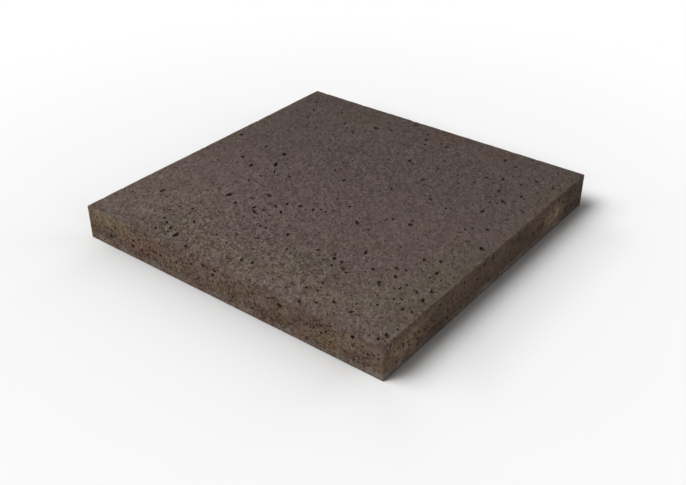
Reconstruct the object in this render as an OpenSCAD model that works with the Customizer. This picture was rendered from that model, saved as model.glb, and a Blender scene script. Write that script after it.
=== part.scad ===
// Concrete paving slab, cast in one piece, with open air pores in its walking face and sides.
// Millimetres. The bed lies on z = 0 about the origin, and the walking face looks up +Z.

/* [Slab] */
// Length of each side of the square
slab_side = 500; // [300:10:800]
// Thickness from the bed to the walking face
slab_thickness = 50; // [30:1:100]

/* [Edges] */
// Radius of the arris round the walking face
face_arris_r = 1.5; // [0.5:0.1:5]
// Radius of the arris round the bed
bed_arris_r = 1; // [0.5:0.1:5]
// Radius of the four upright corners
corner_r = 2; // [0.5:0.1:8]

/* [Pores] */
// Mouth diameter of the few largest pores
large_pore_d = 8; // [5:0.5:10]
// Mouth diameter of the middling pores
medium_pore_d = 6; // [4:0.5:8]
// Mouth diameter of the smallest pores that are holes of their own
small_pore_d = 4; // [2:0.5:6]
// Depth of a pore, as a share of the diameter of its mouth
pore_depth_share = 0.7; // [0.3:0.05:1]

/* [Hidden] */
$fn = 48;
concrete_colour = [0.35, 0.31, 0.29];
// How far a cut runs past the corner that it takes off
cut_overrun = 1;
// Mouth diameters, in the order in which each table of places below lists its pores
pore_ds = [large_pore_d, medium_pore_d, small_pore_d];

// Places of the pores in the walking face, as shares of the side from the left and from the front
face_pore_shares = [
    [[0.302, 0.046], [0.265, 0.285], [0.101, 0.187]],
    [
        [0.339, 0.883], [0.892, 0.718], [0.195, 0.451], [0.639, 0.383], [0.357, 0.349], [0.387, 0.257],
        [0.847, 0.269], [0.849, 0.192], [0.985, 0.039], [0.758, 0.461], [0.967, 0.474], [0.225, 0.567],
        [0.249, 0.500]
    ],
    [
        [0.383, 0.899], [0.424, 0.986], [0.588, 0.908], [0.510, 0.911], [0.549, 0.761], [0.567, 0.752],
        [0.645, 0.689], [0.773, 0.939], [0.910, 0.877], [0.826, 0.831], [0.851, 0.764], [0.916, 0.773],
        [0.959, 0.702], [0.881, 0.700], [0.031, 0.587], [0.137, 0.477], [0.331, 0.467], [0.427, 0.345],
        [0.463, 0.358], [0.503, 0.364], [0.725, 0.606], [0.872, 0.638], [0.932, 0.563], [0.916, 0.361],
        [0.879, 0.342], [0.310, 0.262], [0.331, 0.308], [0.293, 0.121], [0.216, 0.087], [0.238, 0.074],
        [0.274, 0.044], [0.266, 0.060], [0.411, 0.315], [0.443, 0.300], [0.368, 0.274], [0.532, 0.225],
        [0.641, 0.214], [0.549, 0.070], [0.519, 0.063], [0.744, 0.279], [0.936, 0.311], [0.802, 0.230],
        [0.865, 0.237], [0.968, 0.239], [0.942, 0.215], [0.971, 0.197], [0.698, 0.210], [0.722, 0.208],
        [0.743, 0.186], [0.759, 0.179], [0.953, 0.140], [0.810, 0.065], [0.866, 0.059], [0.745, 0.017],
        [0.973, 0.016], [0.373, 0.011], [0.363, 0.022]
    ]
];
// Places in the front side, as shares of the side from the left and of the thickness from the bed
front_pore_shares = [
    [[0.695, 0.74]],
    [[0.444, 0.90], [0.482, 0.93], [0.175, 0.36], [0.475, 0.68], [0.913, 0.84]],
    [
        [0.018, 0.90], [0.110, 0.70], [0.180, 0.55], [0.210, 0.38], [0.255, 0.50], [0.400, 0.72],
        [0.523, 0.68], [0.540, 0.30], [0.615, 0.43], [0.660, 0.80], [0.800, 0.60], [0.835, 0.62],
        [0.850, 0.40], [0.890, 0.33], [0.930, 0.35], [0.955, 0.56], [0.985, 0.58]
    ]
];
// Places in the right side, as shares of the side from the front and of the thickness from the bed
right_pore_shares = [
    [],
    [[0.435, 0.90], [0.475, 0.93], [0.078, 0.57], [0.750, 0.48]],
    [
        [0.025, 0.92], [0.138, 0.36], [0.235, 0.24], [0.265, 0.20], [0.400, 0.58], [0.670, 0.40],
        [0.840, 0.88], [0.870, 0.66], [0.900, 0.75], [0.940, 0.92]
    ]
];

// A round void that opens in the plane z = 0 with a mouth of that diameter
module pore(mouth_d) {
    depth = mouth_d * pore_depth_share;
    void_r = (pow(mouth_d / 2, 2) + pow(depth, 2)) / (2 * depth);
    translate([0, 0, void_r - depth]) sphere(void_r);
}

// The pores of one face of that width and height, which lies in the plane z = 0 about the origin
module pores(size_shares, width, height) {
    for (size = [0 : len(pore_ds) - 1])
        for (share = size_shares[size])
            translate([share.x * width - width / 2, share.y * height - height / 2, 0]) pore(pore_ds[size]);
}

// The pores of one side, which the turn about Z brings round from the front
module side_pores(turn, size_shares) {
    rotate([0, 0, turn])
        translate([0, -slab_side / 2, slab_thickness / 2])
            rotate([90, 0, 0]) pores(size_shares, slab_side, slab_thickness);
}

// What a radius takes off a square corner that has its tip at the origin and its sides along -X and -Y
module corner_waste(r) {
    translate([-r, -r]) difference() {
        square(r + cut_overrun);
        circle(r);
    }
}

// A rectangle about the origin, with one radius on its upper corners and one on its lower corners
module rounded_rectangle(width, height, upper_r, lower_r) {
    difference() {
        square([width, height], center = true);
        for (across = [0, 1]) mirror([across, 0]) {
            translate([width / 2, height / 2]) corner_waste(upper_r);
            mirror([0, 1]) translate([width / 2, height / 2]) corner_waste(lower_r);
        }
    }
}

// The upright section through two facing sides
module section() {
    translate([0, slab_thickness / 2])
        rounded_rectangle(slab_side, slab_thickness, face_arris_r, bed_arris_r);
}

// The slab as the mould shapes it, before any pore
module moulded_block() {
    intersection() {
        linear_extrude(slab_thickness) rounded_rectangle(slab_side, slab_side, corner_r, corner_r);
        rotate([90, 0, 0]) linear_extrude(slab_side, center = true) section();
        rotate([90, 0, 90]) linear_extrude(slab_side, center = true) section();
    }
}

module slab() {
    color(concrete_colour) difference() {
        moulded_block();
        translate([0, 0, slab_thickness]) pores(face_pore_shares, slab_side, slab_side);
        side_pores(0, front_pore_shares);
        side_pores(90, right_pore_shares);
        // The far sides are like the near ones, read from their other end
        mirror([0, 1, 0]) side_pores(0, front_pore_shares);
        mirror([1, 0, 0]) side_pores(90, right_pore_shares);
    }
}

slab();
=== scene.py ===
"""Dresses the cast concrete paving slab: a sandy, stained skin, open pores and crumbled edges."""
import math

import bpy
import numpy as np
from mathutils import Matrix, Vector
from mathutils.geometry import delaunay_2d_cdt


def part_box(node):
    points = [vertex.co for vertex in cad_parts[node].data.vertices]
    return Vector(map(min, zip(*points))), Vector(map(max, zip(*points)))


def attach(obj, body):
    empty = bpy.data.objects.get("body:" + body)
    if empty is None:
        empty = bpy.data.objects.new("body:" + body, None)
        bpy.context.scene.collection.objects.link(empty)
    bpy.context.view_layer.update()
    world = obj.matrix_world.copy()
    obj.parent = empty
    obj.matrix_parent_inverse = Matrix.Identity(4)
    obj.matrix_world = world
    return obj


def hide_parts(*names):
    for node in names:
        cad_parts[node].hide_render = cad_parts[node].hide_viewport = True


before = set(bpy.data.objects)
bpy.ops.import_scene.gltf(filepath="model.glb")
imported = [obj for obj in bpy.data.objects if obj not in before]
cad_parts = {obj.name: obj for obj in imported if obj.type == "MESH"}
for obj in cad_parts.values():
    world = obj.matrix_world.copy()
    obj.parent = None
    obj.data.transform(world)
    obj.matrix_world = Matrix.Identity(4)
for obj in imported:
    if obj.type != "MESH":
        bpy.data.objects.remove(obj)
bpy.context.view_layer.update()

# Lengths are in millimetres here, and in metres once they are Blender's
MM = 0.001
# The seed of every random choice, and what counts as nothing
SEED = 11
TINY = 1e-6
low, high = (np.array(corner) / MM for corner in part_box("slab"))
HALF = (high[0] - low[0]) / 2
SIDE = 2 * HALF
THICK = high[2]
LEFT, FRONT, RIGHT, BACK = range(4)

# Edges
CORNER_R = 2.0
CORNER_STEPS = 4
FACE_ARRIS = 1.3
BED_ARRIS = 1.0
ARRIS_LEAST, ARRIS_MOST = 0.6, 3.2
ARRIS_BANDS, BED_BANDS = 5, 3
EDGE_STEP = 2.0
# Wear of an arris: shares of its radius, and over how many steps each is alike
ARRIS_WEAR = ((0.12, 2), (0.10, 12))
SIDE_WEAR = (0.15, 3)
CRUMBLE_SHARE = 0.06
# Chips, shallower near a corner
CHIPS = 90
CHIP_WIDTH = (0.8, 3.0)
CHIP_DEPTH = (0.3, 1.7)
CHIP_CORNER_REACH = 4 * CORNER_R
# Where the shading has an edge
SHARP_ANGLE = math.radians(40)

# Unevenness of the skin, as a depth below the moulded face
WAVE_SHORTEST, WAVE_LONGEST = 8.0, 40.0
FACE_RELIEF = (0.16, 0.10)
WALL_RELIEF = (0.40, 0.28)
RELIEF_MOST = 1.0
RELIEF_FADE = 4.0
# Spacing of the points that carry it, and the share of that by which they stray
FINE_STEP, BED_STEP = 3.6, 8.0
STRAY_SHARE = 0.3

# Pores and pale grains. Those of the walking face are drawn out one way, as it was struck off
DRAWN_ANGLE = math.radians(-52)
DRAWN_SPREAD = 0.35
ROUND_STRETCH, DRAWN_STRETCH = (1.0, 1.2), (1.1, 1.45)
PORE, GRAIN = 1.0, -1.0
# Rings from the mouth inwards, as shares of the mouth's width and of the depth
DEEP_RINGS = ((1.0, 0.0), (0.90, 0.26), (0.73, 0.64), (0.43, 0.93))
FINE_RINGS = ((1.0, 0.0), (0.72, 0.70))
DEEP_PORE_R = 1.2
# Points in a ring: a few, more for each millimetre of radius, and the fewest and the most
RING_POINTS, RING_POINTS_PER_MM, RING_POINTS_RANGE = 5, 4, (7, 22)
RING_ROUGH = (0.9, 1.1)
MOUTH_LOBES, LOBE_SWELL = (2, 3, 4, 5), 0.32
FLOOR_LEAN = 0.12
PORE_GAP = 0.35
RIM_GAP = 0.6
# Pits for the voids of the CAD slab. In the walking face they are wider than the voids
SKIN_DEPTH = 0.6
SAME_PLACE = 1.0
PLACE_DIGITS, VOID_DIGITS = 3, 1
MOUTH_LEAST, MOUTH_SHARE = 1.7, 0.80
WIDTHS_FRONT_BACK = (0.90, 1.16)
CLOSE_FITS = (1.0, 0.85, 0.7, 0.55)
PORE_DEPTH, PORE_DEPTH_MOST = (1.1, 1.7), 4.0
SHALLOW_DEPTH_SHARE = 0.5
# Fine pores and pale grains that stand out
STAND_OUT_R, STAND_OUT_SPREAD, STAND_OUT_DEPTH = 2.2, (0.85, 1.15), 1.6
GRAIN_R, GRAIN_SPREAD, GRAIN_DEPTH = 1.2, (0.8, 1.2), 0.1
# Small pits, and how many the walking face has at its back for one in front
FACE_PITS, WALL_PITS, BED_PITS = 850, 460, 120
FACE_PIT_R, WALL_PIT_R, BED_PIT_R = (0.8, 1.8), (0.9, 2.3), (0.8, 2.4)
FACE_PIT_DEPTH, WALL_PIT_DEPTH = (0.7, 1.2), (0.5, 1.0)
BACK_PIT_SHARE = 0.15

# Places of the larger pores that are shallow, as shares of the side from the left and the front
SHALLOW_PORE_SHARES = ((0.101, 0.187), (0.847, 0.269), (0.849, 0.192))

# Places of the fine pores that stand out in the walking face, as such shares
FINE_PORE_SHARES = (
    (0.035, 0.926), (0.060, 0.923), (0.093, 0.869), (0.176, 0.911), (0.237, 0.850), (0.110, 0.816),
    (0.184, 0.767), (0.150, 0.763), (0.298, 0.813), (0.538, 0.973), (0.475, 0.840), (0.632, 0.824),
    (0.525, 0.880), (0.818, 0.920), (0.965, 0.870), (0.975, 0.882), (0.786, 0.810), (0.815, 0.794),
    (0.863, 0.693), (0.860, 0.731), (0.710, 0.772), (0.770, 0.764), (0.736, 0.732), (0.094, 0.416),
    (0.149, 0.442), (0.145, 0.573), (0.262, 0.420), (0.253, 0.380), (0.276, 0.463), (0.518, 0.377),
    (0.538, 0.374), (0.550, 0.394), (0.573, 0.437), (0.519, 0.450), (0.467, 0.547), (0.409, 0.580),
    (0.377, 0.655), (0.606, 0.588), (0.784, 0.590), (0.946, 0.638), (0.883, 0.529), (0.750, 0.478),
    (0.692, 0.442), (0.705, 0.455), (0.683, 0.372), (0.931, 0.398), (0.920, 0.480), (0.180, 0.305),
    (0.039, 0.130), (0.256, 0.163), (0.255, 0.107), (0.195, 0.125), (0.182, 0.114), (0.279, 0.030),
    (0.235, 0.037), (0.204, 0.153), (0.240, 0.167), (0.399, 0.279), (0.430, 0.267), (0.442, 0.240),
    (0.378, 0.223), (0.447, 0.212), (0.425, 0.144), (0.418, 0.134), (0.385, 0.110), (0.483, 0.163),
    (0.576, 0.170), (0.586, 0.177), (0.432, 0.098), (0.869, 0.276), (0.933, 0.285), (0.790, 0.233),
    (0.793, 0.210), (0.906, 0.226), (0.688, 0.224), (0.711, 0.182), (0.901, 0.205), (0.976, 0.143),
    (0.896, 0.118), (0.741, 0.110), (0.857, 0.090), (0.722, 0.070), (0.751, 0.078), (0.780, 0.038),
    (0.988, 0.070), (0.914, 0.160),
)

# Places of the pale grains that stand out in the walking face, as such shares
PALE_GRAIN_SHARES = (
    (0.477, 0.043), (0.792, 0.096), (0.312, 0.055), (0.945, 0.322), (0.816, 0.054), (0.414, 0.101),
    (0.392, 0.118), (0.203, 0.295), (0.608, 0.088), (0.786, 0.026), (0.939, 0.115), (0.314, 0.472),
    (0.627, 0.026), (0.854, 0.133), (0.749, 0.290), (0.276, 0.296), (0.493, 0.027), (0.880, 0.154),
    (0.555, 0.509), (0.318, 0.586), (0.495, 0.252), (0.719, 0.146), (0.839, 0.117), (0.285, 0.373),
)

# Patches of close pits in a side: the middle and the half widths, as shares of the side and of the
# thickness, and how many pits
FRONT_PATCH_SHARES = (
    (0.84, 0.60, 0.075, 0.32, 70), (0.64, 0.40, 0.050, 0.22, 30), (0.17, 0.50, 0.090, 0.26, 50),
    (0.95, 0.42, 0.035, 0.32, 24), (0.30, 0.66, 0.060, 0.24, 16), (0.53, 0.55, 0.060, 0.25, 14),
)
RIGHT_PATCH_SHARES = (
    (0.23, 0.24, 0.050, 0.12, 14), (0.08, 0.50, 0.060, 0.25, 16), (0.87, 0.72, 0.080, 0.20, 18),
    (0.74, 0.50, 0.030, 0.15, 8),
)

# Stains: soft patches given in the same way, or on the walking face as shares of the side only, and how
# strong each is. Some light patches are painted light
FACE_STAIN_SHARES = {
    "olive": (
        (0.09, 0.08, 0.10, 0.07, 0.45), (0.28, 0.07, 0.08, 0.07, 0.65), (0.43, 0.07, 0.08, 0.05, 0.65),
        (0.66, 0.10, 0.10, 0.09, 0.55), (0.89, 0.14, 0.06, 0.07, 0.70), (0.96, 0.31, 0.06, 0.13, 0.70),
        (0.985, 0.12, 0.03, 0.10, 0.65), (0.015, 0.56, 0.02, 0.05, 0.80), (0.02, 0.70, 0.02, 0.04, 0.65),
        (0.98, 0.83, 0.03, 0.05, 0.65), (0.26, 0.91, 0.10, 0.05, 0.30),
        (0.55, 0.03, 0.05, 0.05, 0.50), (0.81, 0.06, 0.05, 0.05, 0.60),
    ),
    "ochre": ((0.75, 0.70, 0.50, 0.50, 0.10),),
    "rust": (
        (0.45, 0.02, 0.10, 0.03, 0.20), (0.75, 0.05, 0.08, 0.04, 0.10), (0.02, 0.17, 0.03, 0.03, 0.20),
        (0.02, 0.28, 0.03, 0.03, 0.20), (0.03, 0.41, 0.03, 0.03, 0.30), (0.55, 0.95, 0.05, 0.04, 0.50),
        (0.73, 0.95, 0.05, 0.04, 0.50), (0.16, 0.97, 0.05, 0.03, 0.30),
    ),
    "light": (
        # Painted light: the first of these, at the front left of the walking face, makes it lighter as a
        # lamp at the front left would
        (0.10, 0.30, 0.20, 0.18, 0.10), (0.28, 0.17, 0.14, 0.12, 0.05), (0.09, 0.08, 0.10, 0.08, 0.12),
        (0.89, 0.14, 0.06, 0.07, 0.08), (0.99, 0.22, 0.02, 0.24, -0.08), (0.60, 0.05, 0.32, 0.06, 0.11),
        (0.80, 0.05, 0.10, 0.05, 0.05),
    ),
}
FRONT_STAIN_SHARES = {
    "olive": (
        (0.33, 0.30, 0.025, 0.14, 0.40), (0.53, 0.32, 0.05, 0.14, 0.30), (0.845, 0.40, 0.04, 0.26, 0.40),
    ),
    "ochre": (
        (0.04, 0.65, 0.07, 0.40, 0.75), (0.14, 0.78, 0.07, 0.22, 0.45), (0.17, 0.45, 0.06, 0.20, 0.60),
        (0.33, 0.30, 0.025, 0.14, 0.30), (0.53, 0.32, 0.05, 0.14, 0.50), (0.69, 0.52, 0.03, 0.30, 0.45),
        (0.735, 0.30, 0.03, 0.15, 0.50), (0.845, 0.40, 0.04, 0.26, 0.55), (0.90, 0.60, 0.04, 0.20, 0.45),
        (0.03, 0.25, 0.05, 0.30, 0.80),
    ),
    "rust": (
        (0.25, 0.60, 0.07, 0.26, 0.60), (0.46, 0.18, 0.025, 0.10, 0.80), (0.65, 0.26, 0.03, 0.20, 0.70),
        (0.76, 0.18, 0.03, 0.10, 0.70), (0.22, 0.18, 0.03, 0.10, 0.50), (0.885, 0.27, 0.04, 0.08, 0.70),
        (0.36, 0.90, 0.04, 0.08, 0.40), (0.17, 0.50, 0.05, 0.20, 0.40),
    ),
    "light": (
        (0.03, 0.78, 0.06, 0.25, 0.30), (0.13, 0.85, 0.08, 0.14, 0.18), (0.17, 0.50, 0.05, 0.20, 0.15),
        (0.50, 0.80, 0.08, 0.16, 0.08), (0.95, 0.86, 0.04, 0.12, 0.22), (0.90, 0.62, 0.03, 0.16, 0.22),
        (0.07, 0.42, 0.05, 0.16, -0.30), (0.65, 0.28, 0.05, 0.22, -0.14), (0.40, 0.33, 0.08, 0.12, -0.08),
        (0.79, 0.70, 0.03, 0.20, -0.06), (0.68, 0.62, 0.02, 0.20, -0.14), (0.34, 0.85, 0.06, 0.16, -0.06),
        (0.38, 0.60, 0.05, 0.20, 0.10), (0.845, 0.40, 0.04, 0.26, 0.15), (0.50, 0.60, 1.00, 0.16, 0.04),
        (0.50, 0.26, 1.00, 0.10, -0.04),
    ),
}
RIGHT_STAIN_SHARES = {
    "olive": (
        (0.24, 0.68, 0.06, 0.20, 0.50), (0.60, 0.60, 0.05, 0.24, 0.50), (0.785, 0.42, 0.025, 0.26, 1.00),
        (0.83, 0.42, 0.04, 0.26, 0.20), (0.92, 0.62, 0.08, 0.34, 0.50), (0.50, 0.45, 1.00, 1.00, 0.06),
    ),
    "ochre": (
        (0.08, 0.52, 0.08, 0.36, 0.60), (0.92, 0.62, 0.08, 0.34, 0.20),
    ),
    "rust": (
        (0.74, 0.47, 0.018, 0.14, 1.00), (0.03, 0.36, 0.03, 0.20, 0.40), (0.665, 0.40, 0.015, 0.08, 0.80),
    ),
    "light": (
        (0.09, 0.48, 0.06, 0.28, 0.75), (0.02, 0.80, 0.03, 0.20, 0.10), (0.13, 0.28, 0.03, 0.16, 0.60),
        (0.825, 0.45, 0.055, 0.30, 0.85), (0.45, 0.07, 0.22, 0.12, 0.35), (0.79, 0.12, 0.06, 0.14, 0.25),
        (0.05, 0.12, 0.06, 0.16, 0.35), (0.22, 0.22, 0.06, 0.14, -0.14), (0.60, 0.60, 0.06, 0.26, -0.36),
        (0.94, 0.50, 0.07, 0.50, -0.36), (0.86, 0.84, 0.06, 0.14, -0.18), (0.45, 0.88, 0.06, 0.12, -0.14),
        (0.74, 0.47, 0.015, 0.12, -0.25), (0.65, 0.85, 0.10, 0.16, -0.14), (0.25, 0.75, 0.06, 0.20, -0.08),
        # Painted light: this last patch makes the whole right side, and the left one, lighter as if lit
        # more
        (0.50, 0.50, 1.00, 1.00, 0.08),
    ),
}
# How far a stain reaches round the arris, at how many half widths it ends, and the tints
STAIN_REACH = 5.0
STAIN_END = 1.5
STAIN_TINTS = {
    "olive": (0.98, 1.05, 0.87, 1),
    "ochre": (1.00, 1.00, 0.86, 1),
    "rust": (1.04, 0.905, 0.85, 1),
}

# Colours of the concrete, as a screen shows them
FACE_TONE = (87, 76, 72)
WALL_TONE, STREAK_TONE, FOOT_TONE, LUMP_TONE = (86, 72, 63), (94, 79, 69), (106, 96, 89), (66, 49, 40)
SAND_TONE, DARK_TONE = (82, 76, 74), (42, 30, 25)
PALE_TONE, GRAIN_TONE = (148, 136, 128), (156, 143, 134)
# Hollows: partly dirt and partly painted shade
FACE_HOLLOW_DIRT_AND_SHADE_TONE, WALL_HOLLOW_DIRT_AND_SHADE_TONE = (55, 41, 34), (61, 44, 35)

# The spans below go from one level or place to another, with the values there unless they are 0 and 1.
# Places are millimetres from the slab's middle, past its arris or up from its bed
# Painted light: the walking face is coloured lighter towards the front, as if lit more there; its back
# strip is darker
PAINTED_FRONT_LIGHT, BACK_STRIP_LIGHT = (-HALF, HALF, 1.12, 0.87), (190, 250, 1.0, 0.94)
WALL_FROM, BED_FROM, FOOT_FROM = (-10, 8), (4, 0), (12, 5)
WALL_RAGGED = 24
STREAK_NOISE, FOOT_NOISE, LUMP_NOISE = (0.38, 0.62), (0.3, 0.6), (0.42, 0.30)
LUMP_SHARE = 0.5
STAIN_BORDER = (0.3, 0.7, 0.4, 1.6)

# How light the sandy grain is, by its size, and how strong it is in parts of the slab
BROAD_LIGHT, SAND_LIGHT = (0.3, 0.7, 0.95, 1.05), (0.2, 0.8, 0.64, 1.36)
FINE_LIGHT, GRIT_LIGHT = (0.2, 0.8, 0.72, 1.38), (0, 1, 0.78, 1.30)
GRAIN_MEAN = 1.08
FRONT_GRAIN, BACK_GRAIN = (-HALF, -50, 1.35, 0.84), (0, HALF, 1.0, 0.75)
LEFT_GRAIN, RIGHT_GRAIN = (-HALF, -50, 0.78, 1.0), (0, HALF, 1.0, 0.64)
WALL_GRAIN = (0, 1, 1.0, 0.84)
# Patterns are drawn out with the pores or, on the sides, lengthwise
DRAWN = {"stretch": (1.5, 1, 1), "turn": DRAWN_ANGLE}
LEVEL_STRETCH = (2.0, 2.0, 0.6)

# Specks: the size of their cells, the span from a cell's middle, which cells have one, and an offset
DARK_SPECKS = (3.6, (0.44, 0.20), (0.74, 0.78), (2, 4, 6))
COARSE_SPECKS = (5.5, (0.44, 0.20), (0.86, 0.90), (4, 6, 2))
PALE_SPECKS = (4.0, (0.38, 0.16), (0.86, 0.90), (9, 4, 1))
DARK_FADE, COARSE_FADE = (-HALF, HALF, 1.0, 0.85), (-50, 150, 0.0, 0.85)
PALE_FADE, PALE_LEFT_FADE, PALE_WALL_FADE = (-HALF, 50, 0.5, 0.38), (-HALF, 0, 0.2, 1.0), (0, 1, 1.0, 0.4)
DARK_SHARE = 0.8
# How much of its own colour a pale grain has, and how much dark colour a hollow has, partly dirt and
# partly painted shade, by its depth
HOLLOW_DIRT_AND_SHADE, GRAIN_COLOUR = (0.05, 0.45, 0.0, 0.9), (0.0, -0.6, 0.0, 0.6)

# Relief too fine for the mesh, and how matt the surface is
FINE_HEIGHT, DARK_DEPTH, GRIT_HEIGHT = 0.4, 0.5, -0.5
BUMP_STRENGTH, BUMP_DEPTH = 0.5, 0.7
ROUGHNESS = (0.2, 0.8, 0.96, 0.82)
SPECULAR = 0.06

# The floor, and the span from its middle over which it turns white
FLOOR_HALF, FLOOR_DROP = 6000, 0.1
FLOOR_LIGHT = 0.95
WHITE_FROM = (400, 950)
# Shadow painted into the floor's colour round the slab: how strong, and over how many millimetres it dies
# away
WIDE_PAINTED_SHADE, TIGHT_PAINTED_SHADE = (0.26, 45), (0.09, 6)
# It is weaker at the corners, and at the right and the back, where a faint painted fringe of shadow lies
# further out
CORNER_PAINTED_SHADE, FAR_PAINTED_SHADE = (-60, 0, 1.0, 0.4), (0, 80, 1.0, 0.55)
FRINGE_START, FRINGE_END = (5, 25), (60, 130, 0.085, 0.0)
FRINGE_FAR, FRINGE_CORNER = (80, 180), (-80, 10, 1.0, 0.0)

# Light from low all round, which falls off upwards by a power, and from behind
LOW_LIGHT, LOW_LIGHT_POWER, BACK_LIGHT = 0.64, 2.0, 0.32
# Lamps: azimuth, elevation, strength and width
LAMPS = {"key": (240, 52, 0.40, 30), "left": (215, 50, 0.66, 45)}

# The photograph's viewpoint
VIEW_AZIMUTH, VIEW_ELEVATION = -52.277, 32.471
VIEW_TARGET, VIEW_DISTANCE = (36.65, -47.63, 0), 1278.8
SENSOR_WIDTH, LENS = 36, 48.51


class Plan:
    """The slab's outline from above: its left, front, right and back side with rounded corners."""

    heads = np.array([(0, -1), (1, 0), (0, 1), (-1, 0)], float)
    outs = np.array([(-1, 0), (0, -1), (1, 0), (0, 1)], float)
    starts = np.array([(-1, 1), (-1, -1), (1, -1), (1, 1)], float)

    def __init__(self):
        self.straight = SIDE - 2 * CORNER_R
        self.arc = CORNER_R * math.pi / 2
        self.span = self.straight + self.arc
        self.length = 4 * self.span

    def at(self, along):
        """Places and outward directions at distances along the loop."""
        along = np.mod(np.asarray(along, float), self.length)
        side = np.minimum((along / self.span).astype(int), 3)
        rest = along - side * self.span
        head, out = self.heads[side], self.outs[side]
        begin = self.starts[side] * HALF + head * CORNER_R
        angle = np.maximum(rest - self.straight, 0)[:, None] / CORNER_R
        turned = out * np.cos(angle) + head * np.sin(angle)
        run = np.minimum(rest, self.straight)[:, None]
        return begin + head * run + (turned - out) * CORNER_R, turned

    def along(self, side, share):
        """The distance along the loop of a share of one side, counted from where the loop enters it."""
        return side * self.span + share * SIDE - CORNER_R

    def samples(self):
        """Evenly spaced distances along the loop, and which of them bound a step of a corner."""
        count = round(self.straight / EDGE_STEP)
        one = np.concatenate([
            np.arange(count) / count * self.straight,
            self.straight + np.arange(CORNER_STEPS) / CORNER_STEPS * self.arc,
        ])
        turning = np.arange(len(one)) >= count
        turning[0] = True
        return np.concatenate([one + side * self.span for side in range(4)]), np.tile(turning, 4)

    def from_corner(self, along):
        """How far each place lies from the nearest rounded corner, or below 0 on one."""
        rest = np.mod(along, self.span)
        gap = np.abs(rest - self.straight - self.arc / 2)
        return np.minimum(gap, self.span - gap) - self.arc / 2


plan = Plan()


def add_object(name, data):
    """A new object in the scene."""
    made = bpy.data.objects.new(name, data)
    bpy.context.scene.collection.objects.link(made)
    return made


def vertex_places(mesh):
    """The places of a mesh's vertices, in metres."""
    places = np.empty(len(mesh.vertices) * 3, np.float32)
    mesh.vertices.foreach_get("co", places)
    return places.reshape(-1, 3)


def set_attribute(mesh, name, values):
    """Gives each vertex of a mesh a value that its material can read."""
    attribute = mesh.attributes.new(name, "FLOAT", "POINT")
    attribute.data.foreach_set("value", values.astype(np.float32))


def smooth_noise(count, width, rng):
    """A closed run of smooth random numbers with a spread of 1, alike over about that many steps."""
    wave = np.fft.rfft(rng.standard_normal(count))
    wave *= np.exp(-2 * (np.pi * np.fft.rfftfreq(count) * width) ** 2)
    run = np.fft.irfft(wave, count)
    return run / run.std()


class Waves:
    """Random waves with a spread of 1, over a square of whole millimetres that repeats."""

    count = 512

    def __init__(self, rng):
        across, up = np.fft.fftfreq(self.count)[:, None], np.fft.rfftfreq(self.count)[None]
        pitch = 1 / np.maximum(np.hypot(across, up), TINY)
        power = np.where((pitch > WAVE_SHORTEST) & (pitch < WAVE_LONGEST), pitch, 0)
        grid = np.fft.irfft2(np.fft.rfft2(rng.standard_normal((self.count, self.count))) * power)
        self.grid = grid / grid.std()

    def at(self, points):
        """The height of the waves at flat places."""
        base = np.floor(points).astype(int)
        x, y = (points - base).T
        i, j = base.T % self.count
        k, m = (i + 1) % self.count, (j + 1) % self.count
        near = self.grid[i, j] * (1 - x) + self.grid[k, j] * x
        far = self.grid[i, m] * (1 - x) + self.grid[k, m] * x
        return near * (1 - y) + far * y


def ragged_edge(along, radius, chips, rng):
    """How far an edge is set back at each place along the loop: a worn arris with small chips."""
    back = np.ones(len(along))
    for share, width in ARRIS_WEAR:
        back += share * smooth_noise(len(along), width, rng)
    back *= radius
    for _ in range(chips):
        place = rng.uniform(0, plan.length)
        width = rng.uniform(*CHIP_WIDTH)
        depth = CHIP_DEPTH[0] + (CHIP_DEPTH[1] - CHIP_DEPTH[0]) * rng.random() ** 2
        gap = np.abs(along - place)
        gap = np.minimum(gap, plan.length - gap)
        back += depth * np.exp(-(gap / width) ** 2)
    off_corner = np.clip(plan.from_corner(along) / CHIP_CORNER_REACH, 0, 1)
    most = radius + (ARRIS_MOST - radius) * off_corner
    return np.clip(back, ARRIS_LEAST, most)


class Pore:
    """A pit or pale grain in a flat sheet: rings of points round its middle, and how deep they lie."""

    def __init__(self, middle, radius, depth, rng, stretch, turn, kind):
        self.kind = kind
        self.levels = DEEP_RINGS if radius > DEEP_PORE_R else FINE_RINGS
        count = int(np.clip(RING_POINTS + RING_POINTS_PER_MM * radius, *RING_POINTS_RANGE))
        angle = 2 * math.pi * np.arange(count) / count
        outline = np.ones(count)
        for lobes in MOUTH_LOBES:
            swell = rng.uniform(0, LOBE_SWELL) / math.sqrt(lobes)
            outline += swell * np.cos(lobes * angle + rng.uniform(0, 2 * math.pi))
        outline *= radius / outline.mean()
        x, y = outline * np.cos(angle) * stretch, outline * np.sin(angle) / stretch
        cos, sin = math.cos(turn), math.sin(turn)
        self.shape = np.stack([x * cos - y * sin, x * sin + y * cos], 1)
        self.middle = np.array(middle, float)
        self.reach = np.hypot(*self.shape.T).max()
        self.depth = depth
        self.lean = rng.uniform(-FLOOR_LEAN, FLOOR_LEAN, 2) * radius
        self.rough = rng.uniform(*RING_ROUGH, (len(self.levels), count))

    def rings(self):
        """Rings of (u, v, depth) from the mouth inwards, then the deepest point."""
        out = []
        for level, (width, down) in enumerate(self.levels):
            rough = self.rough[level][:, None] if level else 1.0
            flat = self.middle + self.shape * width * rough + self.lean * down
            out.append(np.column_stack([flat, np.full(len(flat), down * self.depth)]))
        floor = np.append(self.middle + self.lean, self.depth)
        return out, floor


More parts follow.
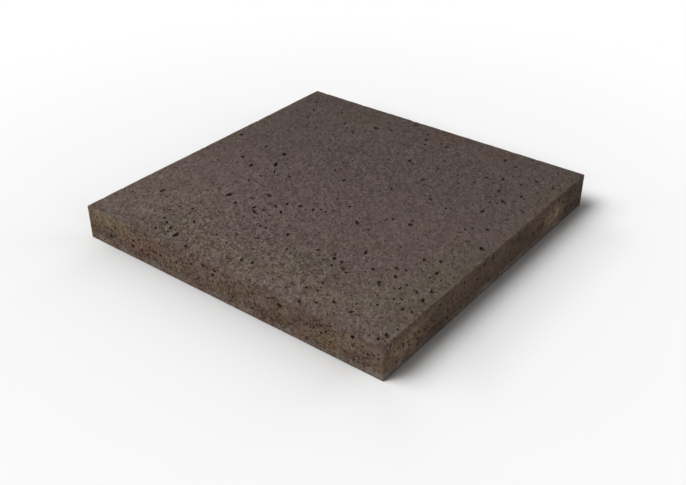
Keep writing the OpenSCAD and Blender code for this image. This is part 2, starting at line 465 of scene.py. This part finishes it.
class Sheet:
    """A flat sheet of the slab's skin within an outline, with pores in it.

    The pores keep within the box. Points about a step apart carry the relief, a depth at each place.
    Room is how far a place is from a corner, columns are rows of points at which the corners bend, and
    drawn is the angle at which the pores are drawn out.
    """

    def __init__(self, outline, box, step, relief, pit_depth, room=None, columns=(), drawn=None):
        self.outline = np.asarray(outline, float)
        self.box, self.step = box, step
        self.relief, self.pit_depth = relief, pit_depth
        self.room, self.columns, self.drawn = room, columns, drawn
        self.pores = []

    def clear_of_rim(self, middle, reach):
        """The nearest place at which a pore of that reach lies within the box of the sheet."""
        lowest, highest = self.box
        return np.clip(middle, np.add(lowest, reach + RIM_GAP), np.subtract(highest, reach + RIM_GAP))

    def add(self, middle, radius, depth, rng, kind=PORE):
        """Makes a pore or grain unless it would run into another or a corner. Says whether it did."""
        if self.drawn is None:
            stretch, turn = rng.uniform(*ROUND_STRETCH), rng.uniform(0, math.pi)
        else:
            stretch, turn = rng.uniform(*DRAWN_STRETCH), rng.normal(self.drawn, DRAWN_SPREAD)
        pore = Pore(middle, radius, depth, rng, stretch, turn, kind)
        pore.middle = self.clear_of_rim(pore.middle, pore.reach)
        if self.room and self.room(pore.middle[0]) < pore.reach + RIM_GAP:
            return False
        for other in self.pores:
            if math.dist(pore.middle, other.middle) < pore.reach + other.reach + PORE_GAP:
                return False
        self.pores.append(pore)
        return True

    def fill_points(self, rng):
        """Loosely spaced points between the pores, to carry the unevenness."""
        lowest, highest = self.box
        counts = [max(1, round((b - a) / self.step)) for a, b in zip(lowest, highest)]
        shares = [np.arange(1, n) / n for n in counts]
        grid = np.stack(np.meshgrid(*shares, indexing="ij"), -1).reshape(-1, 2)
        points = np.array(lowest) + grid * np.subtract(highest, lowest)
        points += rng.uniform(-STRAY_SHARE, STRAY_SHARE, points.shape) * self.step
        keep = np.ones(len(points), bool)
        if self.room:
            keep = self.room(points[:, 0]) > RIM_GAP
        for pore in self.pores:
            keep &= np.hypot(*(points - pore.middle).T) > pore.reach + RIM_GAP
        return points[keep]

    def triangles(self, rng):
        """Points (u, v, depth) with the outline's first, how far down a pore each is, and triangles.

        How far down is a share of the pore's depth, and below 0 on a grain.
        """
        rings = [pore.rings() for pore in self.pores]
        mouths = [ring[0][:, :2] for ring, _ in rings]
        fill = self.fill_points(rng)
        flat = np.vstack([self.outline, *mouths, *[points for _, points, _ in self.columns], fill])
        edges, owner = [], np.full(len(flat), -1)
        first = 0
        for index, loop in enumerate([self.outline, *mouths]):
            ids = np.arange(first, first + len(loop))
            edges += list(zip(ids.tolist(), np.roll(ids, -1).tolist()))
            owner[ids] = index
            first += len(loop)
        for foot, points, head in self.columns:
            chain = [foot, *range(first, first + len(points)), head]
            edges += list(zip(chain, chain[1:]))
            first += len(points)
        found = delaunay_2d_cdt([Vector(p) for p in flat], edges, [], 0, TINY)
        origin = np.array([ids[0] for ids in found[3]])
        faces = origin[np.array(found[2])]
        owners = owner[faces]
        alike = (owners[:, 0] == owners[:, 1]) & (owners[:, 1] == owners[:, 2])
        middles = flat[faces].mean(1)
        keep = np.ones(len(faces), bool)
        for index in np.flatnonzero(alike & (owners[:, 0] > 0)):
            keep[index] = not in_loop(middles[index], mouths[owners[index, 0] - 1])
        edge = alike & (owners[:, 0] == 0)
        keep[edge] = [in_loop(middle, self.outline) for middle in middles[edge]]
        points = [np.column_stack([flat, np.zeros(len(flat))])]
        inner = [np.zeros(len(flat))]
        out = [faces[keep]]
        mouth, end = len(self.outline), len(flat)
        for (levels, floor), pore in zip(rings, self.pores):
            count = len(levels[0])
            outer = np.arange(mouth, mouth + count)
            mouth += count
            for ring in levels[1:]:
                ids = np.arange(end, end + count)
                end += count
                points.append(ring)
                inner.append(pore.kind * ring[:, 2] / pore.depth)
                ahead, below = np.roll(outer, -1), np.roll(ids, -1)
                out.append(np.stack([outer, ahead, below], 1))
                out.append(np.stack([outer, below, ids], 1))
                outer = ids
            points.append(floor[None])
            inner.append(np.full(1, pore.kind))
            out.append(np.stack([outer, np.roll(outer, -1), np.full(count, end)], 1))
            end += 1
        points = np.vstack(points)
        points[:, 2] += self.relief(points[:, :2])
        return points, np.concatenate(inner), np.vstack(out)


def in_loop(point, loop):
    """Whether a point lies within a closed loop, by how often a level ray from it crosses the loop."""
    a, b = loop, np.roll(loop, -1, axis=0)
    cross = (a[:, 1] > point[1]) != (b[:, 1] > point[1])
    rise = np.where(b[:, 1] == a[:, 1], 1, b[:, 1] - a[:, 1])
    left = point[0] < a[:, 0] + (point[1] - a[:, 1]) * (b[:, 0] - a[:, 0]) / rise
    return (cross & left).sum() % 2 == 1


def cad_voids(node):
    """The middle and radius of each round void that is cut into the CAD slab."""
    points = vertex_places(node.data).astype(float) / MM
    inside = np.minimum(points - low, high - points).min(1)
    places, merged = np.unique(np.round(points, PLACE_DIGITS), axis=0, return_inverse=True)
    merged = merged.ravel()
    node.data.calc_loop_triangles()
    corners = np.empty(len(node.data.loop_triangles) * 3, np.int32)
    node.data.loop_triangles.foreach_get("vertices", corners)
    corners = corners.reshape(-1, 3)
    deep = merged[corners[(inside[corners] > SKIN_DEPTH).all(1)]]
    label = np.arange(len(places))
    while True:
        least = label[deep].min(1)
        before = label.copy()
        for corner in range(3):
            np.minimum.at(label, deep[:, corner], least)
        label = label[label]
        if (label == before).all():
            break
    voids = []
    for name in np.unique(label[deep]):
        ball = places[label == name]
        grid = np.column_stack([2 * ball, np.ones(len(ball))])
        fit = np.linalg.lstsq(grid, (ball ** 2).sum(1), rcond=None)[0]
        voids.append((*fit[:3], math.sqrt(fit[3] + (fit[:3] ** 2).sum())))
    return sorted(tuple(np.round(v, VOID_DIGITS)) for v in voids)


def wider_behind(y):
    """How wide a pore of the walking face is for its kind, from the front of the slab to its back."""
    return np.interp(y, (-HALF, HALF), WIDTHS_FRONT_BACK)


def place_cad_pores(top, wrap, rng):
    """A ragged pit for each round void of the CAD slab, at its place and size, the largest first."""
    for x, y, z, radius in sorted(cad_voids(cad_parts["slab"]), key=lambda void: -void[3]):
        gaps = {"top": THICK - z, LEFT: x + HALF, FRONT: y + HALF, RIGHT: HALF - x, BACK: HALF - y}
        face = min(gaps, key=gaps.get)
        mouth = math.sqrt(radius ** 2 - gaps[face] ** 2)
        depth = min(mouth * rng.uniform(*PORE_DEPTH), PORE_DEPTH_MOST)
        if face == "top":
            place = np.array((x, y)) / SIDE + 0.5
            shallow = np.abs(place - SHALLOW_PORE_SHARES).max(1).min() < SAME_PLACE / SIDE
            depth *= SHALLOW_DEPTH_SHARE if shallow else 1
            sheet, middle = top, (x, y)
            mouth = (MOUTH_LEAST + MOUTH_SHARE * mouth) * wider_behind(y)
        else:
            share = {LEFT: HALF - y, FRONT: x + HALF, RIGHT: y + HALF, BACK: HALF - x}[face] / SIDE
            sheet, middle = wrap, (plan.along(face, share), z)
        for fit in CLOSE_FITS:
            if sheet.add(middle, fit * mouth, fit * depth, rng):
                break


def add_pit(sheet, middle, radii, rng):
    """A small pit, more often near the lesser radius."""
    radius = radii[0] + (radii[1] - radii[0]) * rng.random() ** 2
    sheet.add(middle, radius, radius * rng.uniform(*sheet.pit_depth), rng)


def scatter(sheet, count, radii, rng, weight=None):
    """Pits at random places in a sheet, more of them where the weight is near 1."""
    while count > 0:
        middle = rng.uniform(*sheet.box)
        if weight and rng.random() > weight(middle):
            continue
        add_pit(sheet, middle, radii, rng)
        count -= 1


def near_front(middle):
    """More pits towards the front of the walking face."""
    return BACK_PIT_SHARE + (1 - BACK_PIT_SHARE) * (HALF - middle[1]) / SIDE


def pit_patches(wrap, rng):
    """Patches of close pits in the near sides, and in the far sides read from their other end."""
    for side, patches, mirrored in (
        (FRONT, FRONT_PATCH_SHARES, False), (RIGHT, RIGHT_PATCH_SHARES, False),
        (BACK, FRONT_PATCH_SHARES, True), (LEFT, RIGHT_PATCH_SHARES, True),
    ):
        for along, up, half_along, half_up, count in patches:
            for _ in range(count):
                angle, spread = rng.uniform(0, 2 * math.pi), math.sqrt(rng.random())
                share = along + half_along * spread * math.cos(angle)
                height = up + half_up * spread * math.sin(angle)
                place = plan.along(side, 1 - share if mirrored else share)
                add_pit(wrap, (place, height * THICK), WALL_PIT_R, rng)


def build_slab():
    """One closed mesh: the walking face, the four sides as one band, the bed and the worn edges."""
    rng = np.random.default_rng(SEED)
    along, turning = plan.samples()
    count = len(along)
    face_back = ragged_edge(along, FACE_ARRIS, CHIPS, rng)
    share, width = SIDE_WEAR
    side_back = face_back * (1 + share * smooth_noise(count, width, rng))
    side_back = np.clip(side_back, ARRIS_LEAST, ARRIS_MOST)
    bed_back = ragged_edge(along, BED_ARRIS, CHIPS // 2, rng)
    places, outs = plan.at(along)
    waves = Waves(rng)

    def set_in(inset):
        """The slab's outline, set in by so much at each place."""
        return places - outs * inset[:, None]

    def relief(points, inset, level):
        """Depth of the uneven skin, which fades out towards the widest arris."""
        depth = np.clip(level[0] + level[1] * waves.at(points), 0, RELIEF_MOST)
        return depth * np.clip((inset - ARRIS_MOST) / RELIEF_FADE, 0, 1)

    def face_relief(points):
        return relief(points, HALF - np.abs(points).max(1), FACE_RELIEF)

    def wall_relief(points):
        inset = np.minimum(points[:, 1], THICK - points[:, 1])
        return relief(points, np.minimum(inset, plan.from_corner(points[:, 0])), WALL_RELIEF)

    inner = HALF - ARRIS_MOST
    box = ((-inner, -inner), (inner, inner))
    top = Sheet(set_in(face_back), box, FINE_STEP, face_relief, FACE_PIT_DEPTH, drawn=DRAWN_ANGLE)
    bed = Sheet(set_in(bed_back), box, BED_STEP, face_relief, FACE_PIT_DEPTH)

    upper, lower = THICK - side_back, bed_back
    shares = np.linspace(0, 1, round(THICK / FINE_STEP) + 1)[1:-1]

    def column(index):
        """Points up the band of sides at one of the places along it."""
        rise = lower[index] + shares * (upper[index] - lower[index])
        return np.column_stack([np.full(len(shares), along[index]), rise])

    band = np.vstack([
        np.column_stack([along, lower]),
        [(plan.length, lower[0])],
        column(0) + (plan.length, 0),
        [(plan.length, upper[0])],
        np.column_stack([along, upper])[::-1],
        column(0)[::-1],
    ])
    # The upper row runs back, so its first place along the loop comes last
    upper_first = 2 * count + len(shares) + 1
    columns = [(i, column(i), upper_first - i) for i in np.flatnonzero(turning)[1:].tolist()]
    wrap_box = ((0, ARRIS_MOST), (plan.length, THICK - ARRIS_MOST))
    wrap = Sheet(band, wrap_box, FINE_STEP, wall_relief, WALL_PIT_DEPTH, plan.from_corner, columns)

    place_cad_pores(top, wrap, rng)
    for share in FINE_PORE_SHARES:
        middle = (np.array(share) - 0.5) * SIDE
        radius = STAND_OUT_R * wider_behind(middle[1]) * rng.uniform(*STAND_OUT_SPREAD)
        top.add(middle, radius, radius * STAND_OUT_DEPTH, rng)
    for share in PALE_GRAIN_SHARES:
        radius = GRAIN_R * rng.uniform(*GRAIN_SPREAD)
        top.add((np.array(share) - 0.5) * SIDE, radius, GRAIN_DEPTH, rng, GRAIN)
    scatter(top, FACE_PITS, FACE_PIT_R, rng, near_front)
    pit_patches(wrap, rng)
    scatter(wrap, WALL_PITS, WALL_PIT_R, rng)
    scatter(bed, BED_PITS, BED_PIT_R, rng)

    solid = Assembly()
    top_ids = solid.add(*top.triangles(rng), lambda p: np.column_stack([p[:, :2], THICK - p[:, 2]]))
    wrap_ids = solid.add(*wrap.triangles(rng), wrap_place)
    bed_ids = solid.add(*bed.triangles(rng), lambda p: p, flip=True)
    far = count + np.arange(len(shares) + 2)
    near = np.concatenate([[0], len(band) - 1 - np.arange(len(shares)), [upper_first]])
    solid.join(wrap_ids[far], wrap_ids[near])

    crumble = rng.uniform(-CRUMBLE_SHARE, CRUMBLE_SHARE, (ARRIS_BANDS, count))
    rows = [top_ids[:count]]
    for step in range(1, ARRIS_BANDS):
        angle = step / ARRIS_BANDS * math.pi / 2
        inset = np.maximum(face_back * (1 - math.sin(angle) + crumble[step]), 0)
        drop = np.maximum(side_back * (1 - math.cos(angle) - crumble[step]), 0)
        rows.append(solid.points(np.column_stack([set_in(inset), THICK - drop])))
    solid.strips([*rows, wrap_ids[upper_first - np.arange(count)]])
    rows = [wrap_ids[:count]]
    for step in range(1, BED_BANDS):
        angle = step / BED_BANDS * math.pi / 2
        inset = bed_back * (1 - math.cos(angle))
        rise = bed_back * (1 - math.sin(angle))
        rows.append(solid.points(np.column_stack([set_in(inset), rise])))
    solid.strips([*rows, bed_ids[:count]])
    return solid.finish("paving_slab")


def wrap_place(points):
    """Bends points of the band of sides round the slab."""
    places, outs = plan.at(points[:, 0])
    return np.column_stack([places - outs * points[:, 2:], points[:, 1]])


class Assembly:
    """Collects points and triangles of the slab's sheets and edges into one closed mesh."""

    def __init__(self):
        self.count = 0
        self.places, self.inner, self.faces = [], [], []
        self.joined = {}

    def points(self, places, inner=None):
        """Adds points and returns their numbers."""
        ids = np.arange(self.count, self.count + len(places))
        self.count += len(places)
        self.places.append(places)
        self.inner.append(np.zeros(len(places)) if inner is None else inner)
        return ids

    def add(self, flat, inner, faces, place, flip=False):
        """Adds a sheet, set in place, and returns its points' numbers."""
        ids = self.points(place(flat), inner)
        self.faces.append(ids[faces[:, ::-1] if flip else faces])
        return ids

    def strips(self, rows):
        """Joins closed rows of points with as many points each, from the upper one down."""
        for upper, lower in zip(rows, rows[1:]):
            a, d = upper, np.roll(upper, -1)
            b, c = lower, np.roll(lower, -1)
            self.faces.append(np.stack([a, b, c], 1))
            self.faces.append(np.stack([a, c, d], 1))

    def join(self, drop, keep):
        """Makes some points the same as others."""
        self.joined.update(zip(drop.tolist(), keep.tolist()))

    def finish(self, name):
        """The Blender object, with how deep in a pore each point is."""
        faces = np.vstack(self.faces)
        target = np.arange(self.count)
        for drop, keep in self.joined.items():
            target[drop] = keep
        faces = target[faces]
        used, faces = np.unique(faces, return_inverse=True)
        faces = faces.reshape(-1, 3)
        mesh = bpy.data.meshes.new(name)
        mesh.from_pydata((np.vstack(self.places)[used] * MM).tolist(), [], faces.tolist())
        set_attribute(mesh, "pore_depth", np.concatenate(self.inner)[used])
        mesh.update()
        mesh.shade_smooth()
        mesh.set_sharp_from_angle(angle=SHARP_ANGLE)
        return add_object(name, mesh)


def soft_patches(along, up, patches):
    """The strength of soft patches at places that are given as shares too."""
    amount = np.zeros(len(along))
    for middle_along, middle_up, half_along, half_up, strength in patches:
        gap = np.hypot((along - middle_along) / half_along, (up - middle_up) / half_up)
        amount += strength * np.clip(STAIN_END - gap, 0, 1)
    return amount


def stain(slab):
    """Stains each point of the slab and paints some light onto it. The far sides are like the near ones,
    read from their other end.
    """
    x, y, z = vertex_places(slab.data).T / MM
    share_x, share_y, share_z = x / SIDE + 0.5, y / SIDE + 0.5, z / THICK
    faces = (
        (THICK - z, share_x, share_y, FACE_STAIN_SHARES),
        (HALF - np.abs(y), share_x, share_z, FRONT_STAIN_SHARES),
        (HALF - np.abs(x), share_y, share_z, RIGHT_STAIN_SHARES),
    )
    for name in FACE_STAIN_SHARES:
        amount = np.zeros(len(x))
        for gap, along, up, patches in faces:
            amount += np.clip(1 - gap / STAIN_REACH, 0, 1) * soft_patches(along, up, patches[name])
        set_attribute(slab.data, name, amount)


def tone(levels):
    """A colour as a screen shows it, from 0 to 255, for a shader."""
    parts = [c / 255 for c in levels]
    return (*[c / 12.92 if c <= 0.04045 else ((c + 0.055) / 1.055) ** 2.4 for c in parts], 1.0)


class Graph:
    """Short names for the shader nodes that the looks here use."""

    # Where a mix node that mixes colours has them
    first_colour, second_colour, mixed_colour = 6, 7, 2

    def __init__(self, owner):
        owner.use_nodes = True
        self.tree = owner.node_tree
        self.tree.nodes.clear()

    def make(self, kind, inputs, **settings):
        """Adds a node whose inputs are values or other nodes' outputs, and returns its outputs."""
        node = self.tree.nodes.new(kind)
        for key, value in settings.items():
            setattr(node, key, value)
        for key, value in inputs.items():
            if isinstance(value, bpy.types.NodeSocket):
                self.tree.links.new(value, node.inputs[key])
            else:
                node.inputs[key].default_value = value
        return node.outputs

    def place(self):
        return self.make("ShaderNodeTexCoord", {})["Object"]

    def axes(self, source):
        """The three parts of a place or direction."""
        return self.make("ShaderNodeSeparateXYZ", {0: source})

    def attribute(self, name):
        return self.make("ShaderNodeAttribute", {}, attribute_name=name)["Fac"]

    def pattern(self, size_mm, offset=(0, 0, 0), stretch=(1, 1, 1), turn=0.0):
        """Inputs of a pattern, moved by an offset and stretched along axes that are turned about Z."""
        inputs = {"Vector": self.place(), "Location": offset, "Rotation": (0, 0, turn), "Scale": stretch}
        mapped = self.make("ShaderNodeMapping", inputs, vector_type="TEXTURE")
        return {"Vector": mapped[0], "Scale": 1 / (size_mm * MM)}

    def noise(self, size_mm, detail=2.0, rough=0.5, **moved):
        """Cloudy noise from 0 to 1 with patches of about that size."""
        inputs = self.pattern(size_mm, **moved) | {"Detail": detail, "Roughness": rough}
        return self.make("ShaderNodeTexNoise", inputs)["Fac"]

    def cells(self, size_mm, **moved):
        """Distance to the nearest of scattered points, in cell sizes, and each point's random colour."""
        found = self.make("ShaderNodeTexVoronoi", self.pattern(size_mm, **moved))
        return found["Distance"], self.axes(found["Color"])

    def math(self, operation, a, b=0.0):
        return self.make("ShaderNodeMath", {0: a, 1: b}, operation=operation)[0]

    def span(self, value, start, end, to_start=0.0, to_end=1.0):
        """Maps a value smoothly from one range to another, and holds it there."""
        inputs = dict(enumerate((value, start, end, to_start, to_end)))
        return self.make("ShaderNodeMapRange", inputs, interpolation_type="SMOOTHSTEP")[0]

    def span_mm(self, length, start, end, *values):
        """The same for a length, with its range in millimetres."""
        return self.span(length, start * MM, end * MM, *values)

    def mix(self, share, a, b, blend="MIX"):
        inputs = {0: share, self.first_colour: a, self.second_colour: b}
        mixed = self.make("ShaderNodeMix", inputs, data_type="RGBA", blend_type=blend)
        return mixed[self.mixed_colour]

    def vector(self, operation, a, b):
        return self.make("ShaderNodeVectorMath", {0: a, 1: b}, operation=operation)[0]

    def times(self, colour, value):
        """A colour made lighter or darker by a value."""
        return self.make("ShaderNodeVectorMath", {0: colour, "Scale": value}, operation="SCALE")[0]

    def product(self, *values):
        """All the values multiplied."""
        result = values[0]
        for value in values[1:]:
            result = self.math("MULTIPLY", result, value)
        return result


def concrete():
    """Dry cast concrete: taupe with sandy grain, specks, stains, pores darkened by dirt and painted shade,
    browner sides, and some painted light.
    """
    material = bpy.data.materials.new("concrete")
    g = Graph(material)
    pore = g.attribute("pore_depth")
    x, y, z = g.axes(g.place())

    # How far past the arris a place is, from below 0 on the walking face to above 0 on a side
    outward = g.math("MAXIMUM", g.math("ABSOLUTE", x), g.math("ABSOLUTE", y))
    turn = g.math("SUBTRACT", g.math("ADD", outward, (THICK - HALF) * MM), z)
    ragged = g.math("SUBTRACT", g.noise(9, detail=3.0, rough=0.6, offset=(4, 4, 2)), 0.5)
    ragged = g.math("MULTIPLY", ragged, WALL_RAGGED * MM)
    wall_share = g.span_mm(g.math("ADD", turn, ragged), *WALL_FROM)
    wall_share = g.math("MAXIMUM", wall_share, g.span_mm(z, *BED_FROM))

    # The walking face, with painted light: coloured lighter towards the front as if lit more there, and
    # darker along its back strip
    lighter = g.product(g.span_mm(y, *PAINTED_FRONT_LIGHT), g.span_mm(y, *BACK_STRIP_LIGHT))
    face = g.times(tone(FACE_TONE)[:3], lighter)

    # The sides, with lengthwise streaks and a greyer strip along the bed
    streak = g.noise(22, detail=3.0, rough=0.6, offset=(7, 7, 1), stretch=LEVEL_STRETCH)
    wall = g.mix(g.span(streak, *STREAK_NOISE), tone(WALL_TONE), tone(STREAK_TONE))
    foot = g.product(g.span_mm(z, *FOOT_FROM), g.span(g.noise(30, offset=(3, 0, 3)), *FOOT_NOISE))
    wall = g.mix(foot, wall, tone(FOOT_TONE))
    lumps = g.span(g.noise(6, rough=0.6, offset=(2, 9, 4)), *LUMP_NOISE)
    wall = g.mix(g.math("MULTIPLY", lumps, LUMP_SHARE), wall, tone(LUMP_TONE))
    colour = g.mix(wall_share, face, wall)

    # Stains with ragged borders; the light patches are partly stains and partly painted light
    border = g.noise(12, detail=3.0, rough=0.6, offset=(6, 1, 5))
    border = g.span(border, *STAIN_BORDER)
    for name, tint in STAIN_TINTS.items():
        colour = g.mix(g.math("MULTIPLY", g.attribute(name), border), colour, tint, "MULTIPLY")
    colour = g.times(colour, g.math("ADD", g.math("MULTIPLY", g.attribute("light"), border), 1.0))

    # Sandy grain at several sizes, greyer than the cement
    broad = g.noise(26, rough=0.6, offset=(3, 1, 7))
    sand = g.noise(6, detail=3.0, rough=0.8, offset=(5, 2, 0), **DRAWN)
    fine = g.noise(2, rough=0.7, offset=(1, 8, 3), **DRAWN)
    grit_distance, grit_random = g.cells(3, offset=(8, 3, 5), **DRAWN)
    speckle = g.product(
        g.span(broad, *BROAD_LIGHT),
        g.span(sand, *SAND_LIGHT),
        g.span(fine, *FINE_LIGHT),
        g.span(grit_random[0], *GRIT_LIGHT),
    )
    grain = g.product(
        g.math("SUBTRACT", speckle, GRAIN_MEAN),
        g.span_mm(y, *FRONT_GRAIN),
        g.span_mm(y, *BACK_GRAIN),
        g.span_mm(x, *LEFT_GRAIN),
        g.span(wall_share, *WALL_GRAIN),
        g.span_mm(x, *RIGHT_GRAIN),
    )
    colour = g.vector("ADD", colour, g.times(tone(SAND_TONE)[:3], grain))
    colour = g.vector("MAXIMUM", colour, tone(DARK_TONE)[:3])

    def specks(kind, *fades):
        """Scattered specks of a kind, weaker where the fades are low."""
        size, edge, chosen, offset = kind
        distance, random = g.cells(size, offset=offset, **DRAWN)
        return g.product(g.span(distance, *edge), g.span(random[0], *chosen), *fades)

    # Dark and pale specks, pale grains, and hollows darkened with depth, partly by dirt and partly by
    # painted shade
    dark = specks(DARK_SPECKS, g.span_mm(y, *DARK_FADE))
    colour = g.mix(g.math("MULTIPLY", dark, DARK_SHARE), colour, tone(DARK_TONE))
    coarse = specks(COARSE_SPECKS, g.span_mm(y, *COARSE_FADE))
    colour = g.mix(coarse, colour, tone(DARK_TONE))
    pale = specks(
        PALE_SPECKS,
        g.span_mm(y, *PALE_FADE),
        g.span_mm(x, *PALE_LEFT_FADE),
        g.span(wall_share, *PALE_WALL_FADE),
    )
    colour = g.mix(pale, colour, tone(PALE_TONE))
    colour = g.mix(g.span(pore, *GRAIN_COLOUR), colour, tone(GRAIN_TONE))
    # Hollows darken with depth: partly dirt, partly painted shade
    hollow = g.mix(wall_share, tone(FACE_HOLLOW_DIRT_AND_SHADE_TONE), tone(WALL_HOLLOW_DIRT_AND_SHADE_TONE))
    colour = g.mix(g.span(pore, *HOLLOW_DIRT_AND_SHADE), colour, hollow)

    height = g.math("ADD", sand, g.math("MULTIPLY", fine, FINE_HEIGHT))
    height = g.math("SUBTRACT", height, g.math("MULTIPLY", dark, DARK_DEPTH))
    height = g.math("ADD", height, g.math("MULTIPLY", grit_distance, GRIT_HEIGHT))
    bump = g.make("ShaderNodeBump", {
        "Strength": BUMP_STRENGTH, "Distance": BUMP_DEPTH * MM, "Height": height,
    })
    shader = g.make("ShaderNodeBsdfPrincipled", {
        "Base Color": colour,
        "Roughness": g.span(sand, *ROUGHNESS),
        "Normal": bump[0],
        "Specular IOR Level": SPECULAR,
    })
    g.make("ShaderNodeOutputMaterial", {"Surface": shader[0]})
    return material


def seen_rays(g):
    """1 for rays that show a surface as it is, to the camera or in gloss or glass, and 0 for light."""
    rays = g.make("ShaderNodeLightPath", {})
    bounced = g.math("MAXIMUM", rays["Is Glossy Ray"], rays["Is Transmission Ray"])
    return g.math("MAXIMUM", rays["Is Camera Ray"], bounced)


def make_floor():
    """A pale floor with a soft shadow painted round the slab, which turns white away from it."""
    reach = FLOOR_HALF * MM
    corners = [(-reach, -reach, 0), (reach, -reach, 0), (reach, reach, 0), (-reach, reach, 0)]
    mesh = bpy.data.meshes.new("floor")
    mesh.from_pydata(corners, [], [(0, 1, 2, 3)])
    floor = add_object("floor", mesh)
    floor.location.z = -FLOOR_DROP * MM
    material = bpy.data.materials.new("floor")
    g = Graph(material)
    far = g.make("ShaderNodeVectorMath", {0: g.place()}, operation="LENGTH")["Value"]
    x, y, _ = g.axes(g.place())
    past_x, past_y = (g.math("SUBTRACT", g.math("ABSOLUTE", part), HALF * MM) for part in (x, y))
    gap = g.math("MAXIMUM", g.math("MAXIMUM", past_x, past_y), 0.0)

    def painted_halo(strength, reach):
        """Painted shade that dies away from the slab's foot over about that reach."""
        return g.math("MULTIPLY", g.math("EXPONENT", g.math("DIVIDE", gap, -reach * MM)), strength)

    past_corner = g.math("MINIMUM", past_x, past_y)
    away = g.math("ADD", x, y)
    # Painted shadow: the floor's colour darkens round the slab's foot
    shade = g.product(
        g.math("ADD", painted_halo(*WIDE_PAINTED_SHADE), painted_halo(*TIGHT_PAINTED_SHADE)),
        g.span_mm(past_corner, *CORNER_PAINTED_SHADE),
        g.span_mm(away, *FAR_PAINTED_SHADE),
    )
    painted_fringe = g.product(
        g.span_mm(gap, *FRINGE_START),
        g.span_mm(gap, *FRINGE_END),
        g.span_mm(away, *FRINGE_FAR),
        g.span_mm(past_corner, *FRINGE_CORNER),
    )
    light = g.math("SUBTRACT", FLOOR_LIGHT, g.math("ADD", shade, painted_fringe))
    blend = g.make("ShaderNodeMixShader", {
        0: g.product(seen_rays(g), g.span_mm(far, *WHITE_FROM)),
        1: g.make("ShaderNodeBsdfDiffuse", {"Color": light})[0],
        2: g.make("ShaderNodeEmission", {})[0],
    })
    g.make("ShaderNodeOutputMaterial", {"Surface": blend[0]})
    mesh.materials.append(material)


def sky():
    """Soft light from low all round and from behind, and a white background."""
    world = bpy.data.worlds.new("studio")
    bpy.context.scene.world = world
    g = Graph(world)
    _, y, z = g.axes(g.make("ShaderNodeTexCoord", {})["Generated"])
    low_light = g.math("POWER", g.math("SUBTRACT", 1.0, g.math("MAXIMUM", z, 0.0)), LOW_LIGHT_POWER)
    behind = g.math("MULTIPLY", g.math("MAXIMUM", y, 0.0), BACK_LIGHT)
    light = g.math("ADD", g.math("MULTIPLY", low_light, LOW_LIGHT), behind)
    seen = seen_rays(g)
    unseen = g.math("MULTIPLY", light, g.math("SUBTRACT", 1.0, seen))
    strength = g.math("MAXIMUM", seen, unseen)
    shade = g.make("ShaderNodeBackground", {"Color": (1, 1, 1, 1), "Strength": strength})
    g.make("ShaderNodeOutputWorld", {"Surface": shade[0]})


def direction(azimuth, elevation):
    """The direction at those degrees round from +X and up from the floor."""
    turn, rise = math.radians(azimuth), math.radians(elevation)
    return Vector((math.cos(turn) * math.cos(rise), math.sin(turn) * math.cos(rise), math.sin(rise)))


def soft_sun(name, azimuth, elevation, strength, width):
    """A wide far lamp. One straight overhead with a strength of 1 would light white fully."""
    lamp = bpy.data.lights.new(name, "SUN")
    lamp.energy = strength * math.pi
    lamp.angle = math.radians(width)
    sun = add_object(name, lamp)
    sun.rotation_euler = direction(azimuth, elevation).to_track_quat("Z", "Y").to_euler()


def camera():
    """The photograph's viewpoint."""
    back = direction(VIEW_AZIMUTH, VIEW_ELEVATION)
    data = bpy.data.cameras.new("camera")
    data.sensor_width = SENSOR_WIDTH
    data.lens = LENS
    view = add_object("camera", data)
    view.location = Vector(VIEW_TARGET) * MM + back * VIEW_DISTANCE * MM
    view.rotation_euler = back.to_track_quat("Z", "Y").to_euler()
    bpy.context.scene.camera = view


camera()
make_floor()
sky()
for lamp, setting in LAMPS.items():
    soft_sun(lamp, *setting)
bpy.context.scene.view_settings.view_transform = "Standard"
slab = build_slab()
stain(slab)
slab.data.materials.append(concrete())
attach(slab, "root")
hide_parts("slab")
